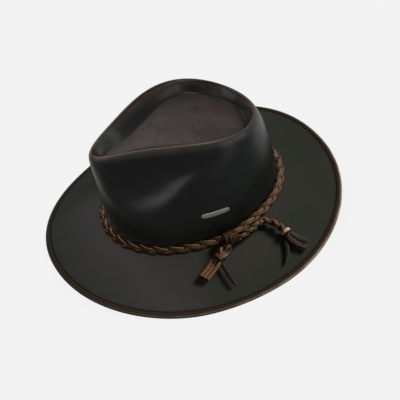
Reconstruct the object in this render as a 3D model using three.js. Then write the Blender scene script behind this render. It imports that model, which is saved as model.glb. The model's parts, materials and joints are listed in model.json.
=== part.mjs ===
import * as THREE from 'three';

// A leather hat with a teardrop crown, a wide brim and a plaited band.
// Millimetres, +Z up. The front of the hat is -Y and the wearer's left is +X.
// The origin is on the surface that the hat rests on, under the middle of the brim.

// Leather
const CROWN_WALL = 2.2;
const BRIM_WALL = 2.4;
const BRIM_EDGE_WALL = 3.0;
const GAP = 0.3;

// Crown: its foot is an oval round the head, set a little behind the middle of the brim
const FOOT_HALF_LENGTH = 103;
const FOOT_HALF_WIDTH = 87;
const CROWN_SET_BACK = 5.3;

// Crown lip, measured out from the top of the crest
const LIP_OUT = 3.8;
const LIP_OUT_DROP = 4.2;
const LIP_IN = 3.4;
const LIP_IN_DROP = 1.9;

// Brim outline and how high its edge stands above the foot of the crown
const BRIM_HALF_LENGTH = 172.8;
const BRIM_HALF_WIDTH = 166;
const BRIM_SQUARENESS = 0.96;
const BRIM_EGG = -0.05;
const BRIM_EDGE_LEVEL = -12;
const BRIM_EDGE_TILT = -4.8;
const BRIM_EDGE_SADDLE = 9.8;
const BRIM_CURL = 1.25;
const BRIM_EDGE_BORDER = 8;
const BORDER_STEP = 1;

// The brim's inner edge, turned up inside the crown's foot
const COLLAR_HEIGHT = 12;
const COLLAR_FOLD = 2;

// How far the brim's sides are pressed flat by the surface they rest on
const REST_PRESS = 2.3;

// Band: a flat plait, its section, and how far it stands off the crown beside the knot
const BRAID_HALF_THICK = 4;
const BRAID_HALF_TALL = 5.7;
const BRAID_UP = 6.6;
const BRAID_SIDES = 10;
const KNOT_TURN = THREE.MathUtils.degToRad(89);
const KNOT_SPREAD = THREE.MathUtils.degToRad(13);
const KNOT_STAND_OFF = 2.6;

// Knot: a coil of thong round the band and the roots of both tails
const KNOT_LENGTH = 18;
const KNOT_WALL = 1.6;
const KNOT_BULGE = 3;
const KNOT_END_TAPER = 0.1;
const KNOT_STATIONS = 5;
const KNOT_SIDES = 12;

// Tails: plaited ends, their whippings and the cut thongs
const TAIL_HALF_THICK = 3.4;
const TAIL_HALF_TALL = 4.6;
const WHIPPING_RADIUS = 4.4;
const THONG_WIDTH = 3.2;
const THONG_THICK = 1.8;
const SPREAD_THONG_WIDTH = 4.6;
const DARK_THONG_WIDTH = 3.6;
const TAIL_STEP = 6;
const TAIL_SIDES = 10;
const TAIL_CLEARANCE = GAP + 0.4;

// Bar: a small plain plate on the left side of the crown
const BAR_LENGTH = 32;
const BAR_HEIGHT = 5.4;
const BAR_THICK = 1.5;
const BAR_TURN = THREE.MathUtils.degToRad(84.5);
const BAR_UP = 39;
const BAR_SLOPE = -0.13;
const BAR_END_ROUNDING = 3;
const BAR_END_HEIGHT = 0.35;
const BAR_COLUMNS = 14;
const BAR_ROWS = 2;

// Columns of facets round the crown, the brim and the band
const COLUMNS = 60;

// A turn small enough to measure an outline's direction with
const SMALL_TURN = 0.01;

// The share of the crown's profile that is its side, and the halvings that find a height on it
const SIDE_SHARE = 0.4;
const SIDE_HALVINGS = 40;

// The thumb dent on each side of the front: where round the crown it lies, and how far it spreads
const DENT_TURN = THREE.MathUtils.degToRad(60);
const DENT_SPREAD = THREE.MathUtils.degToRad(22);

// Horizontal sections of the crown's outer face, from its foot to the floor of the recess.
// front, back: reach before and behind the crown's centre; half: breadth; nose: roundness of
// the front, 1 for an oval; hook: how late the shape widens behind the nose; cheek: how much
// narrower both ends are; dent: depth of the thumb dents; up: height over the foot; tilt:
// extra height in front; saddle: extra height at front and back over the sides; steps: rows
// of facets up to the next section.
const FOOT = { front: FOOT_HALF_LENGTH, back: FOOT_HALF_LENGTH, half: FOOT_HALF_WIDTH, nose: 1, hook: 1,
  cheek: 0, dent: 0, up: 0, tilt: 0, saddle: 0 };
const CROWN_SECTIONS = [
  { ...FOOT, name: 'foot', up: GAP, steps: 1 },
  { ...FOOT, name: 'band', up: 15, steps: 2 },
  { ...FOOT, name: 'side', back: 102, nose: 0.94, up: 40, saddle: -2, steps: 2 },
  { name: 'under the dent', front: 103, back: 99.5, half: 88, nose: 0.8, hook: 1.2,
    cheek: -0.03, dent: -2.5, up: 64, tilt: 0, saddle: -6, steps: 3 },
  { name: 'dent', front: 103, back: 96.5, half: 98, nose: 0.58, hook: 1.4,
    cheek: -0.16, dent: 7, up: 84, tilt: 2, saddle: -6, steps: 3 },
];
const CREST = { name: 'crest', front: 99, back: 88.5, half: 106, nose: 0.37, hook: 1.76,
  cheek: -0.3, dent: 2, up: 111.2, tilt: 12.2, saddle: -6 };
const RECESS_WALL = { name: 'recess wall', front: 93.5, back: 81, half: 108, nose: 0.2, hook: 1.8,
  cheek: -0.33, dent: 1, up: 103, tilt: 11.6, saddle: -5.6 };
const RECESS_FLOOR = { name: 'recess floor', front: 90, back: 74.5, half: 109, nose: 0.1, hook: 1.85,
  cheek: -0.36, dent: 0, up: 97.5, tilt: 11, saddle: -5 };

// Floor of the recess: its height over the foot along the middle of the hat, and how it falls to the back
const FLOOR_CENTRE_Y = 24;
const FLOOR_CENTRE_UP = 99;
const FLOOR_SLOPE = -0.236;
const FLOOR_BOW = -0.00168;
const FLOOR_ROWS = [0.15, 0.4, 0.7];
const FLOOR_EDGE_FADE = 4;

// One point of a horizontal section; turn runs from the front, 0, to the wearer's left, a quarter turn.
function sectionPoint(section, turn) {
  const widening = Math.pow(Math.sin(turn / 2) ** 2, section.hook);
  const breadth = section.nose + (1 - section.nose) * widening;
  const hollow = 1 + section.cheek * Math.cos(turn) ** 2;
  const reach = (section.back + section.front) / 2;
  const fromDent = (Math.acos(Math.cos(turn)) - DENT_TURN) / DENT_SPREAD;
  const dent = section.dent * Math.exp(-(fromDent ** 2)) * Math.sign(Math.sin(turn));
  return new THREE.Vector3(
    section.half * Math.sin(turn) * breadth * hollow - dent,
    (section.back - section.front) / 2 - reach * Math.cos(turn),
    section.up + section.tilt * Math.cos(turn) + section.saddle * Math.cos(2 * turn),
  );
}

// The same section moved out by a distance and down by another, square to its outline.
function offsetPoint(section, turn, out, drop) {
  const along = sectionPoint(section, turn + SMALL_TURN).sub(sectionPoint(section, turn - SMALL_TURN));
  const outward = new THREE.Vector3(along.y, -along.x, 0).normalize();
  const point = sectionPoint(section, turn).addScaledVector(outward, out);
  point.z -= drop;
  return point;
}

// Height of the recess floor over the foot, on the middle line of the hat.
function floorUp(y) {
  const back = y - FLOOR_CENTRE_Y;
  return FLOOR_CENTRE_UP + FLOOR_SLOPE * back + FLOOR_BOW * back ** 2;
}

// A point beside the crown's foot, out from its outline and over its plane.
function footPoint(turn, out, up) {
  return offsetPoint(FOOT, turn, out, -up);
}

// The crown's outer profile at one turn, from the foot over the lip to the middle of the recess.
function crownCurve(turn) {
  const keys = CROWN_SECTIONS.map((section) => sectionPoint(section, turn));
  const steps = CROWN_SECTIONS.map((section) => section.steps);
  keys.push(offsetPoint(CREST, turn, LIP_OUT, LIP_OUT_DROP));
  steps.push(2);
  keys.push(sectionPoint(CREST, turn));
  steps.push(1);
  keys.push(offsetPoint(CREST, turn, -LIP_IN, LIP_IN_DROP));
  steps.push(1);
  keys.push(sectionPoint(RECESS_WALL, turn));
  steps.push(2);
  const edge = sectionPoint(RECESS_FLOOR, turn);
  keys.push(edge);
  steps.push(1);
  const centre = new THREE.Vector3(0, FLOOR_CENTRE_Y, FLOOR_CENTRE_UP);
  FLOOR_ROWS.forEach((share) => {
    const point = edge.clone().lerp(centre, share);
    point.z = floorUp(point.y) + (edge.z - floorUp(edge.y)) * (1 - share) ** FLOOR_EDGE_FADE;
    keys.push(point);
    steps.push(1);
  });
  keys.push(centre);
  return { curve: new THREE.CatmullRomCurve3(keys, false, 'centripetal'), steps };
}

function crownProfile(turn) {
  const { curve, steps } = crownCurve(turn);
  const points = [];
  steps.forEach((count, key) => {
    for (let step = 0; step < count; step += 1) {
      points.push(curve.getPoint((key + step / count) / steps.length));
    }
  });
  points.push(curve.getPoint(1));
  return points;
}

function turnAt(column) {
  return (column / COLUMNS) * Math.PI * 2;
}

// A geometry from a list of points and a list of triangles.
function facets(points, triangles) {
  const geometry = new THREE.BufferGeometry();
  const numbers = points.flatMap((point) => point.toArray());
  geometry.setAttribute('position', new THREE.Float32BufferAttribute(numbers, 3));
  geometry.setIndex(triangles);
  geometry.computeVertexNormals();
  return geometry;
}

// A closed ring: each column is a closed outline, and the last column joins the first.
function ringGeometry(columns) {
  const count = columns[0].length;
  const triangles = [];
  columns.forEach((column, i) => {
    const here = i * count;
    const next = ((i + 1) % columns.length) * count;
    for (let j = 0; j < count; j += 1) {
      const k = (j + 1) % count;
      triangles.push(here + j, next + j, next + k, here + j, next + k, here + k);
    }
  });
  return facets(columns.flat(), triangles);
}

// A cap-shaped shell: outer and inner faces with one pole each, joined round the foot.
function shellGeometry(outer, inner) {
  const rows = outer[0].length - 1;
  const points = [];
  outer.forEach((column) => points.push(...column.slice(0, rows)));
  inner.forEach((column) => points.push(...column.slice(0, rows)));
  const outerPole = points.push(outer[0][rows]) - 1;
  const innerPole = points.push(inner[0][rows]) - 1;
  const half = COLUMNS * rows;
  const triangles = [];
  for (let i = 0; i < COLUMNS; i += 1) {
    const here = i * rows;
    const next = ((i + 1) % COLUMNS) * rows;
    for (let j = 0; j < rows - 1; j += 1) {
      const a = here + j;
      const b = next + j;
      triangles.push(a, b, b + 1, a, b + 1, a + 1);
      triangles.push(half + a, half + b + 1, half + b, half + a, half + a + 1, half + b + 1);
    }
    triangles.push(here + rows - 1, next + rows - 1, outerPole);
    triangles.push(half + here + rows - 1, innerPole, half + next + rows - 1);
    triangles.push(here, half + next, next, here, half + here, half + next);
  }
  return facets(points, triangles);
}

// The shell's inner face: the outer one moved in by the wall, square to the leather.
function innerFace(outer) {
  const rows = outer[0].length;
  return outer.map((column, i) => {
    const before = outer[(i + COLUMNS - 1) % COLUMNS];
    const after = outer[(i + 1) % COLUMNS];
    return column.map((point, j) => {
      if (j === rows - 1) {
        return point.clone().setZ(point.z - CROWN_WALL);
      }
      const round = after[j].clone().sub(before[j]);
      const up = column[j + 1].clone().sub(column[Math.max(j - 1, 0)]);
      const outward = round.cross(up).normalize();
      if (j === 0) {
        outward.setZ(0).normalize();
      }
      return point.clone().addScaledVector(outward, -CROWN_WALL);
    });
  });
}

function crownGeometry() {
  const outer = [];
  for (let i = 0; i < COLUMNS; i += 1) {
    outer.push(crownProfile(turnAt(i)));
  }
  return shellGeometry(outer, innerFace(outer));
}

function signedPower(value, power) {
  return Math.sign(value) * Math.abs(value) ** power;
}

// The brim's outline seen from above, about the crown's centre.
function brimEdgePoint(turn) {
  return new THREE.Vector3(
    BRIM_HALF_WIDTH * signedPower(Math.sin(turn), BRIM_SQUARENESS) * (1 + BRIM_EGG * Math.cos(turn)),
    -BRIM_HALF_LENGTH * signedPower(Math.cos(turn), BRIM_SQUARENESS) - CROWN_SET_BACK,
    BRIM_EDGE_LEVEL + BRIM_EDGE_TILT * Math.cos(turn) + BRIM_EDGE_SADDLE * Math.cos(2 * turn),
  );
}

function lowestEdge() {
  let lowest = 0;
  for (let i = 0; i < COLUMNS; i += 1) {
    lowest = Math.min(lowest, brimEdgePoint(turnAt(i)).z);
  }
  return lowest;
}

// Height of the crown's foot over the surface that the brim rests on.
const FOOT_HEIGHT = BRIM_EDGE_WALL - REST_PRESS - lowestEdge();

// The brim's top face at a share of the way from the crown's foot to the edge.
function brimTop(turn, share) {
  const inner = footPoint(turn, 0, 0);
  const edge = brimEdgePoint(turn);
  const point = inner.clone().lerp(edge, share);
  point.z = edge.z * share ** BRIM_CURL;
  point.z = Math.max(point.z, brimWall(turn, share) - FOOT_HEIGHT);
  return point;
}

function brimWidth(turn) {
  const inner = footPoint(turn, 0, 0);
  const edge = brimEdgePoint(turn);
  return Math.hypot(edge.x - inner.x, edge.y - inner.y);
}

// The leather is turned under and stitched along the edge, so it is thicker there.
function brimWall(turn, share) {
  const inside = (1 - share) * brimWidth(turn);
  const border = THREE.MathUtils.clamp((BRIM_EDGE_BORDER + BORDER_STEP - inside) / BORDER_STEP, 0, 1);
  return BRIM_WALL + (BRIM_EDGE_WALL - BRIM_WALL) * border;
}

// Where the brim's rows lie: shares of its width, then distances in from the edge
const BRIM_SHARES = [0.1, 0.26, 0.44, 0.6, 0.74];
const BRIM_BORDER_ROWS = [BRIM_EDGE_BORDER + BORDER_STEP, BRIM_EDGE_BORDER, BRIM_EDGE_BORDER / 2,
  BRIM_EDGE_WALL / 2];

function brimOutline(turn) {
  const width = brimWidth(turn);
  const shares = [...BRIM_SHARES, ...BRIM_BORDER_ROWS.map((distance) => 1 - distance / width)];
  const tops = shares.map((share) => brimTop(turn, share));
  const bottoms = shares.map((share, i) => tops[i].clone().setZ(tops[i].z - brimWall(turn, share)));
  const last = tops[tops.length - 1];
  const edge = brimTop(turn, 1);
  const rim = [0.25, 0.5, 0.75].map((part) => {
    const angle = part * Math.PI;
    const point = last.clone().lerp(edge, Math.sin(angle));
    point.z = last.z - (BRIM_EDGE_WALL / 2) * (1 - Math.cos(angle));
    return point;
  });
  const collarOut = -CROWN_WALL - GAP;
  const collarIn = collarOut - BRIM_WALL;
  const top = [
    footPoint(turn, collarOut, COLLAR_HEIGHT),
    footPoint(turn, collarOut, 0),
    footPoint(turn, 0, 0),
  ];
  const bottom = [
    footPoint(turn, 0, -BRIM_WALL),
    footPoint(turn, collarIn + COLLAR_FOLD, -BRIM_WALL),
    footPoint(turn, collarIn, -BRIM_WALL + COLLAR_FOLD),
    footPoint(turn, collarIn, COLLAR_HEIGHT),
  ];
  return [...top, ...tops, ...rim, ...bottoms.reverse(), ...bottom];
}

function brimGeometry() {
  const columns = [];
  for (let i = 0; i < COLUMNS; i += 1) {
    columns.push(brimOutline(turnAt(i)).reverse());
  }
  return ringGeometry(columns);
}

// How far the middle of the band stands out from the crown's foot.
function braidOut(turn) {
  const fromKnot = (turn - KNOT_TURN) / KNOT_SPREAD;
  return GAP + BRAID_HALF_THICK + KNOT_STAND_OFF * Math.exp(-(fromKnot ** 2));
}

// A point round the band's line: out along the crown's normal, up along Z.
function aroundBraid(turn, out, up) {
  return footPoint(turn, braidOut(turn) + out, BRAID_UP + up);
}

function braidGeometry() {
  const columns = [];
  for (let i = 0; i < COLUMNS; i += 1) {
    const column = [];
    for (let j = 0; j < BRAID_SIDES; j += 1) {
      const angle = (j / BRAID_SIDES) * Math.PI * 2;
      const out = BRAID_HALF_THICK * Math.cos(angle);
      column.push(aroundBraid(turnAt(i), out, BRAID_HALF_TALL * Math.sin(angle)));
    }
    columns.push(column);
  }
  return ringGeometry(columns);
}

// The coil: an oval sleeve round the band, thicker on the outside, where the tails' roots lie.
function knotGeometry() {
  const halfTurn = KNOT_LENGTH / 2 / FOOT_HALF_LENGTH;
  const boreOut = BRAID_HALF_THICK + 2 * GAP;
  const boreUp = BRAID_HALF_TALL + 2 * GAP;
  const columns = [];
  for (let j = 0; j < KNOT_SIDES; j += 1) {
    const angle = (j / KNOT_SIDES) * Math.PI * 2;
    const skin = [];
    const bore = [];
    for (let i = 0; i < KNOT_STATIONS; i += 1) {
      const along = (2 * i) / (KNOT_STATIONS - 1) - 1;
      const turn = KNOT_TURN + halfTurn * along;
      const swell = 1 - KNOT_END_TAPER * along ** 2;
      const outerOut = KNOT_BULGE + (boreOut + KNOT_WALL + KNOT_BULGE) * swell * Math.cos(angle);
      skin.push(aroundBraid(turn, outerOut, (boreUp + KNOT_WALL) * swell * Math.sin(angle)));
      bore.push(aroundBraid(turn, boreOut * Math.cos(angle), boreUp * Math.sin(angle)));
    }
    columns.push([...bore, ...skin.reverse()]);
  }
  return ringGeometry(columns);
}

// A section carried along a smooth line through the points.
function sweptGeometry(route, outline) {
  const path = new THREE.CatmullRomCurve3(route, false, 'centripetal');
  const steps = Math.max(3, Math.round(path.getLength() / TAIL_STEP));
  return new THREE.ExtrudeGeometry(outline, { steps, extrudePath: path, bevelEnabled: false });
}

function rodGeometry(route, halfTall, halfThick) {
  const corners = [];
  for (let i = 0; i < TAIL_SIDES; i += 1) {
    const angle = (i / TAIL_SIDES) * Math.PI * 2;
    corners.push(new THREE.Vector2(halfTall * Math.cos(angle), halfThick * Math.sin(angle)));
  }
  return sweptGeometry(route, new THREE.Shape(corners));
}

// A flat strip along a smooth line through the points, its broad faces up and down.
function thongGeometry(route, width) {
  const path = new THREE.CatmullRomCurve3(route, false, 'centripetal');
  const steps = Math.max(3, Math.round(path.getLength() / TAIL_STEP));
  const points = [];
  const triangles = [];
  for (let i = 0; i <= steps; i += 1) {
    const ahead = path.getTangentAt(i / steps);
    const aside = new THREE.Vector3(ahead.y, -ahead.x, 0).normalize();
    const above = aside.clone().cross(ahead);
    [[-1, -1], [1, -1], [1, 1], [-1, 1]].forEach(([wide, thick]) => {
      const point = path.getPointAt(i / steps).addScaledVector(aside, (wide * width) / 2);
      points.push(point.addScaledVector(above, (thick * THONG_THICK) / 2));
    });
    if (i > 0) {
      for (let j = 0; j < 4; j += 1) {
        const here = (i - 1) * 4 + j;
        const beside = (i - 1) * 4 + ((j + 1) % 4);
        triangles.push(here, beside + 4, beside, here, here + 4, beside + 4);
      }
    }
  }
  const last = steps * 4;
  triangles.push(0, 1, 2, 0, 2, 3, last, last + 2, last + 1, last, last + 3, last + 2);
  return facets(points, triangles);
}

// The point of the crown's outer face at a turn and a height over the foot, found by halving.
function crownPointAt(turn, up) {
  const curve = crownCurve(turn).curve;
  let low = 0;
  let high = SIDE_SHARE;
  for (let i = 0; i < SIDE_HALVINGS; i += 1) {
    const middle = (low + high) / 2;
    if (curve.getPoint(middle).z < up) {
      low = middle;
    } else {
      high = middle;
    }
  }
  return curve.getPoint((low + high) / 2);
}

// The bar: a round-ended plate bent to the crown, standing a gap off the leather.
function barGeometry() {
  const geometry = new THREE.BoxGeometry(BAR_LENGTH, BAR_HEIGHT, BAR_THICK, BAR_COLUMNS, BAR_ROWS, 1);
  const position = geometry.attributes.position;
  for (let i = 0; i < position.count; i += 1) {
    const along = position.getX(i);
    const toEnd = Math.min(BAR_LENGTH / 2 - Math.abs(along), BAR_END_ROUNDING) / BAR_END_ROUNDING;
    const height = position.getY(i) * Math.max(BAR_END_HEIGHT, Math.sqrt(1 - (1 - toEnd) ** 2));
    const turn = BAR_TURN + along / FOOT_HALF_LENGTH;
    const up = BAR_UP + BAR_SLOPE * along + height;
    const base = crownPointAt(turn, up);
    const round = crownPointAt(turn + SMALL_TURN, up).sub(base);
    const rise = crownPointAt(turn, up + 1).sub(base);
    const outward = round.cross(rise).normalize();
    const out = GAP + BAR_THICK / 2 + position.getZ(i);
    const point = base.addScaledVector(outward, out);
    position.setXYZ(i, point.x, point.y, point.z);
  }
  geometry.computeVertexNormals();
  return geometry;
}

function leather(name, color, roughness) {
  const material = new THREE.MeshStandardMaterial({ color, roughness, metalness: 0 });
  material.name = name;
  return material;
}

// Routes of the tails and their thongs, about the crown's centre and over its foot. Each starts
// at the knot or at its whipping.
const v = (x, y, z) => new THREE.Vector3(x, y, z);
const TAIL_FRONT_ROUTE = [v(104.0, -12.6, 3.1), v(106, -18.5, 2.4), v(108, -24.5, 1.6)];
const TAIL_FRONT_WHIPPING = [v(108.15, -25.05, 1.6), v(108.9, -28, 1.2), v(109.8, -31.2, 0.7)];
const TAIL_FRONT_THONGS = [
  [v(107, -33.1, 0.9), v(111, -42.4, -1.5), v(114.6, -53.7, -3.6)],
  [v(110.3, -31.9, 0.6), v(114.5, -41, -2.2), v(118.1, -52.3, -4.4)],
  [v(113.7, -30.7, 0.3), v(118, -39.6, -3), v(121.6, -50.9, -5.4)],
];
const TAIL_FRONT_DARK_THONG = [
  v(114.4, -28.6, -2.3), v(124.7, -29, -5.3), v(134.4, -29.5, -8.3), v(142.8, -29.3, -11.3),
];
const TAIL_BACK_TURNS = [0.008, 0.11, 0.21, 0.3];
const TAIL_BACK_DROP = 1.2;
const TAIL_BACK_BEND = [v(97.6, 42.5, 3.6), v(104, 46.6, 2.6), v(111, 48.8, 1.2), v(116.6, 50.2, -0.4)];
const TAIL_BACK_WHIPPING = [v(117, 50.3, -0.5), v(120, 51, -1.4), v(123, 51.8, -2.4)];
const TAIL_BACK_THONGS = [
  [v(123.7, 53.7, -2.4), v(132.3, 58.2, -5.7), v(140.1, 64.6, -8.5)],
  [v(125, 48.9, -3.1), v(136.1, 51.7, -7), v(146.2, 58.9, -10.5)],
];
const TAIL_BACK_DARK_THONG = [
  v(122.2, 45.9, -4.8), v(133.4, 42.2, -7.6), v(141.7, 36.9, -10.1), v(148.9, 30.4, -12.3),
];

// The back tail runs beside the band from the knot before it bends away.
function tailBackRoute() {
  const start = KNOT_TURN + KNOT_LENGTH / 2 / FOOT_HALF_LENGTH;
  const out = BRAID_HALF_THICK + TAIL_CLEARANCE + TAIL_HALF_THICK;
  const beside = TAIL_BACK_TURNS.map((turn) => aroundBraid(start + turn, out, -TAIL_BACK_DROP));
  return [...beside, ...TAIL_BACK_BEND];
}

const hat = new THREE.Group();
hat.position.set(0, CROWN_SET_BACK, FOOT_HEIGHT);

function addPiece(name, geometry, material) {
  const mesh = new THREE.Mesh(geometry, material);
  mesh.name = name;
  hat.add(mesh);
}

const plait = leather('plaited leather', '#6b4a33', 0.6);
const cutThong = leather('cut thong', '#8d6a4c', 0.65);
const darkThong = leather('dark thong', '#2d211a', 0.6);
const pewter = new THREE.MeshStandardMaterial({ color: '#b3b8ad', roughness: 0.4, metalness: 0.9 });

addPiece('crown', crownGeometry(), leather('crown leather', '#241f1c', 0.45));
addPiece('brim', brimGeometry(), leather('brim leather', '#2a2724', 0.5));
addPiece('braid_band', braidGeometry(), plait);
addPiece('knot_wrap', knotGeometry(), plait);

addPiece('tail_front', rodGeometry(TAIL_FRONT_ROUTE, TAIL_HALF_TALL, TAIL_HALF_THICK), plait);
addPiece('tail_front_whipping', rodGeometry(TAIL_FRONT_WHIPPING, WHIPPING_RADIUS, WHIPPING_RADIUS), plait);
TAIL_FRONT_THONGS.forEach((route, i) => {
  addPiece(`tail_front_thong_${i + 1}`, thongGeometry(route, THONG_WIDTH), cutThong);
});
addPiece('tail_front_thong_4', thongGeometry(TAIL_FRONT_DARK_THONG, DARK_THONG_WIDTH), darkThong);

addPiece('tail_back', rodGeometry(tailBackRoute(), TAIL_HALF_TALL, TAIL_HALF_THICK), plait);
addPiece('tail_back_whipping', rodGeometry(TAIL_BACK_WHIPPING, WHIPPING_RADIUS, WHIPPING_RADIUS), plait);
TAIL_BACK_THONGS.forEach((route, i) => {
  addPiece(`tail_back_thong_${i + 1}`, thongGeometry(route, SPREAD_THONG_WIDTH), cutThong);
});
addPiece('tail_back_thong_3', thongGeometry(TAIL_BACK_DARK_THONG, DARK_THONG_WIDTH), darkThong);

addPiece('crown_bar', barGeometry(), pewter);

const part = new THREE.Group();
part.add(hat);
export default part;
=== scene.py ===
import json
import math

import bpy
import numpy as np
from mathutils import Matrix, Vector
from mathutils.bvhtree import BVHTree

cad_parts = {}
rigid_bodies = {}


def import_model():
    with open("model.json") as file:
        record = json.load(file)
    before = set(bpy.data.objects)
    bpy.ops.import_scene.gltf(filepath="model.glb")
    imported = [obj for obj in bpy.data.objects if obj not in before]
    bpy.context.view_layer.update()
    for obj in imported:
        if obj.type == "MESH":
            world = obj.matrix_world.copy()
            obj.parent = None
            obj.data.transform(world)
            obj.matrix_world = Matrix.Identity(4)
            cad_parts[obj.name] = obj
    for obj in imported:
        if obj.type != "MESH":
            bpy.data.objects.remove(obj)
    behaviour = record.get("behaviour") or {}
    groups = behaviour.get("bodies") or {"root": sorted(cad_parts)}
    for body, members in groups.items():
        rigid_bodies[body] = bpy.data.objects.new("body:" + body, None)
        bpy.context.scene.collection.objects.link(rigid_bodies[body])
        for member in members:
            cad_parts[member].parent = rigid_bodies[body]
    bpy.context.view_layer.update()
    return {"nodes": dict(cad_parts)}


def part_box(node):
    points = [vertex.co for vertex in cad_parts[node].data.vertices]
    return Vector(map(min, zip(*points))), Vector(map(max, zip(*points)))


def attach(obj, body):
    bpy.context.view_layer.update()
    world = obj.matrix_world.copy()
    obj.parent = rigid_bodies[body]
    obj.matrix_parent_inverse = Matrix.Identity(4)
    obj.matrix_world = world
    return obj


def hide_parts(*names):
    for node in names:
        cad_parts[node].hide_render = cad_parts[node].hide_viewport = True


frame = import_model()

bl_info = {
    "name": "Leather hat",
    "version": (1, 0, 0),
    "blender": (4, 5, 0),
    "location": "3D View > Sidebar > Hat",
    "description": "Finishes a leather hat around its packed frame",
    "category": "Object",
}

MM = 0.001

# The frame: its box, and the crown's foot as the band lies round it
BAND_LOW, BAND_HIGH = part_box("braid_band")
CROWN_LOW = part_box("crown")[0]
GAP = 0.3 * MM
BAND_THICK = 8 * MM
FOOT_HALF_WIDTH = -BAND_LOW.x - BAND_THICK - GAP
FOOT_HALF_LENGTH = (BAND_HIGH.y - BAND_LOW.y) / 2 - BAND_THICK - GAP
FOOT = Vector((0, (BAND_HIGH.y + BAND_LOW.y) / 2, CROWN_LOW.z - GAP))
BAND_UP = (BAND_HIGH.z + BAND_LOW.z) / 2 - FOOT.z

# The knot: where round the hat it is, how far it lifts the band off the crown, and its length
KNOT_TURN = math.radians(87.2)
KNOT_SPREAD = math.radians(13)
KNOT_LIFT = 2.6 * MM
KNOT_LENGTH = 16 * MM

# The tails' middle lines, about the crown's centre and over its foot, in millimetres
TAIL_FRONT_ROUTE = [
    (98.5, -4, 4.2), (101.8, -12.8, 3.5), (104.6, -19.2, 2.5), (107.6, -24.5, 1.6), (109.5, -29.5, 1)
]
TAIL_FRONT_WHIPPING = [(108.15, -25.05, 1.6), (108.9, -28, 1.2), (109.8, -31.2, 0.7)]
TAIL_BACK_TURNS = [-0.09, 0.008, 0.11, 0.21, 0.3]
TAIL_BACK_BESIDE = 8.1 * MM
TAIL_BACK_DROP = 1.2 * MM
TAIL_BACK_BEND = [
    (97.6, 42.5, 3.6), (104, 46.6, 2.6), (111, 48.8, 1.2), (116.6, 50.2, -0.4), (121.5, 51.4, -1.9)
]
TAIL_BACK_WHIPPING = [(117, 50.3, -0.5), (120, 51, -1.4), (123, 51.8, -2.4)]
TAIL_FRONT_THONGS = [
    [(107, -33.1, 0.9), (111.2, -43.0, -1.5), (115.2, -54.2, -3.6)],
    [(110.2, -31.9, 0.6), (114.6, -41.6, -2.2), (118.6, -52.7, -4.4)],
    [(114.1, -30.5, 0.2), (118.4, -39.4, -3.1), (122, -50.7, -5.5)],
]
TAIL_FRONT_DARK_THONG = [
    (114.4, -28.6, -2.3), (124.7, -29, -5.3), (134.4, -29.5, -8.3), (142.8, -29.3, -11.3)
]
TAIL_BACK_THONGS = [
    [(123.7, 53.7, -2.4), (132.3, 58.2, -5.7), (140.1, 64.6, -8.5)],
    [(125, 48.9, -3.1), (136.1, 51.7, -7), (146.2, 58.9, -10.5)],
]
TAIL_BACK_DARK_THONG = [
    (122.2, 45.9, -4.8), (133.4, 42.2, -7.6), (141.7, 36.9, -10.1), (148.9, 30.4, -12.3)
]

# The plaits: how far a strand of the band stands out, and how far a strand of a tail swings and stands
# out, its width and its thickness, before the tail's girth. Both lean upward by a share.
BAND_STAND = 1.75 * MM
BAND_UPWARD = 0.32
BAND_POINTS = 520
TAIL_SWING, TAIL_STAND, TAIL_STRAND_WIDTH, TAIL_STRAND_THICK = 2.3 * MM, 1.45 * MM, 4.7 * MM, 2.5 * MM

# The distances between the points of a plait's middle line and of a single thong's
PLAIT_SPACING, THONG_SPACING = 0.7 * MM, 0.9 * MM

# The wound thongs: how many points each turn has, how far the knot's coil and the whippings reach
# out and up from their middle lines, and their thickness
COIL_STEPS, WHIPPING_STEPS = 40, 36
COIL_OUT, COIL_UP, COIL_THICK = 7.8 * MM, 7.1 * MM, 1.5 * MM
WHIPPING_OUT, WHIPPING_UP, WHIPPING_THICK = 5.0 * MM, 3.5 * MM, 1.2 * MM
BINDING_WIDTH, BINDING_THICK, BINDING_RISE = 1.1 * MM, 0.9 * MM, 0.15 * MM
DARK_THONG_WIDTH, DARK_THONG_THICK = 4.5 * MM, 1.7 * MM

# Two outlines of the crown seen from above, in millimetres about its centre: the crest, and the
# edge of the recess floor. nose, hook and cheek shape the front and the back, dent the sides.
CREST = {"front": 99, "back": 88.5, "half": 106, "nose": 0.37, "hook": 1.76, "cheek": -0.3, "dent": 2}
FLOOR_EDGE = {"front": 90, "back": 74.5, "half": 109, "nose": 0.1, "hook": 1.85, "cheek": -0.36, "dent": 0}
DENT_TURN = math.radians(60)
DENT_SPREAD = math.radians(22)

# The photograph's camera: the point it looks at, about the crown's foot, and its angles
CAMERA_AIM = Vector((26.49, -2.81, 11.08)) * MM
CAMERA_DISTANCE = 1.2
CAMERA_AZIMUTH = math.radians(70)
CAMERA_ELEVATION = math.radians(42)
CAMERA_ROLL = math.radians(-13.83)
CAMERA_LENS = 96.15


def length(name, description, millimetres):
    """A size that a user may change, shown in the scene's units."""
    return bpy.props.FloatProperty(
        name=name, description=description, default=millimetres * MM, min=0, subtype="DISTANCE",
        unit="LENGTH"
    )


def colour(name, description, *default):
    return bpy.props.FloatVectorProperty(
        name=name, description=description, default=default, min=0, max=1, size=3, subtype="COLOR"
    )


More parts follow.
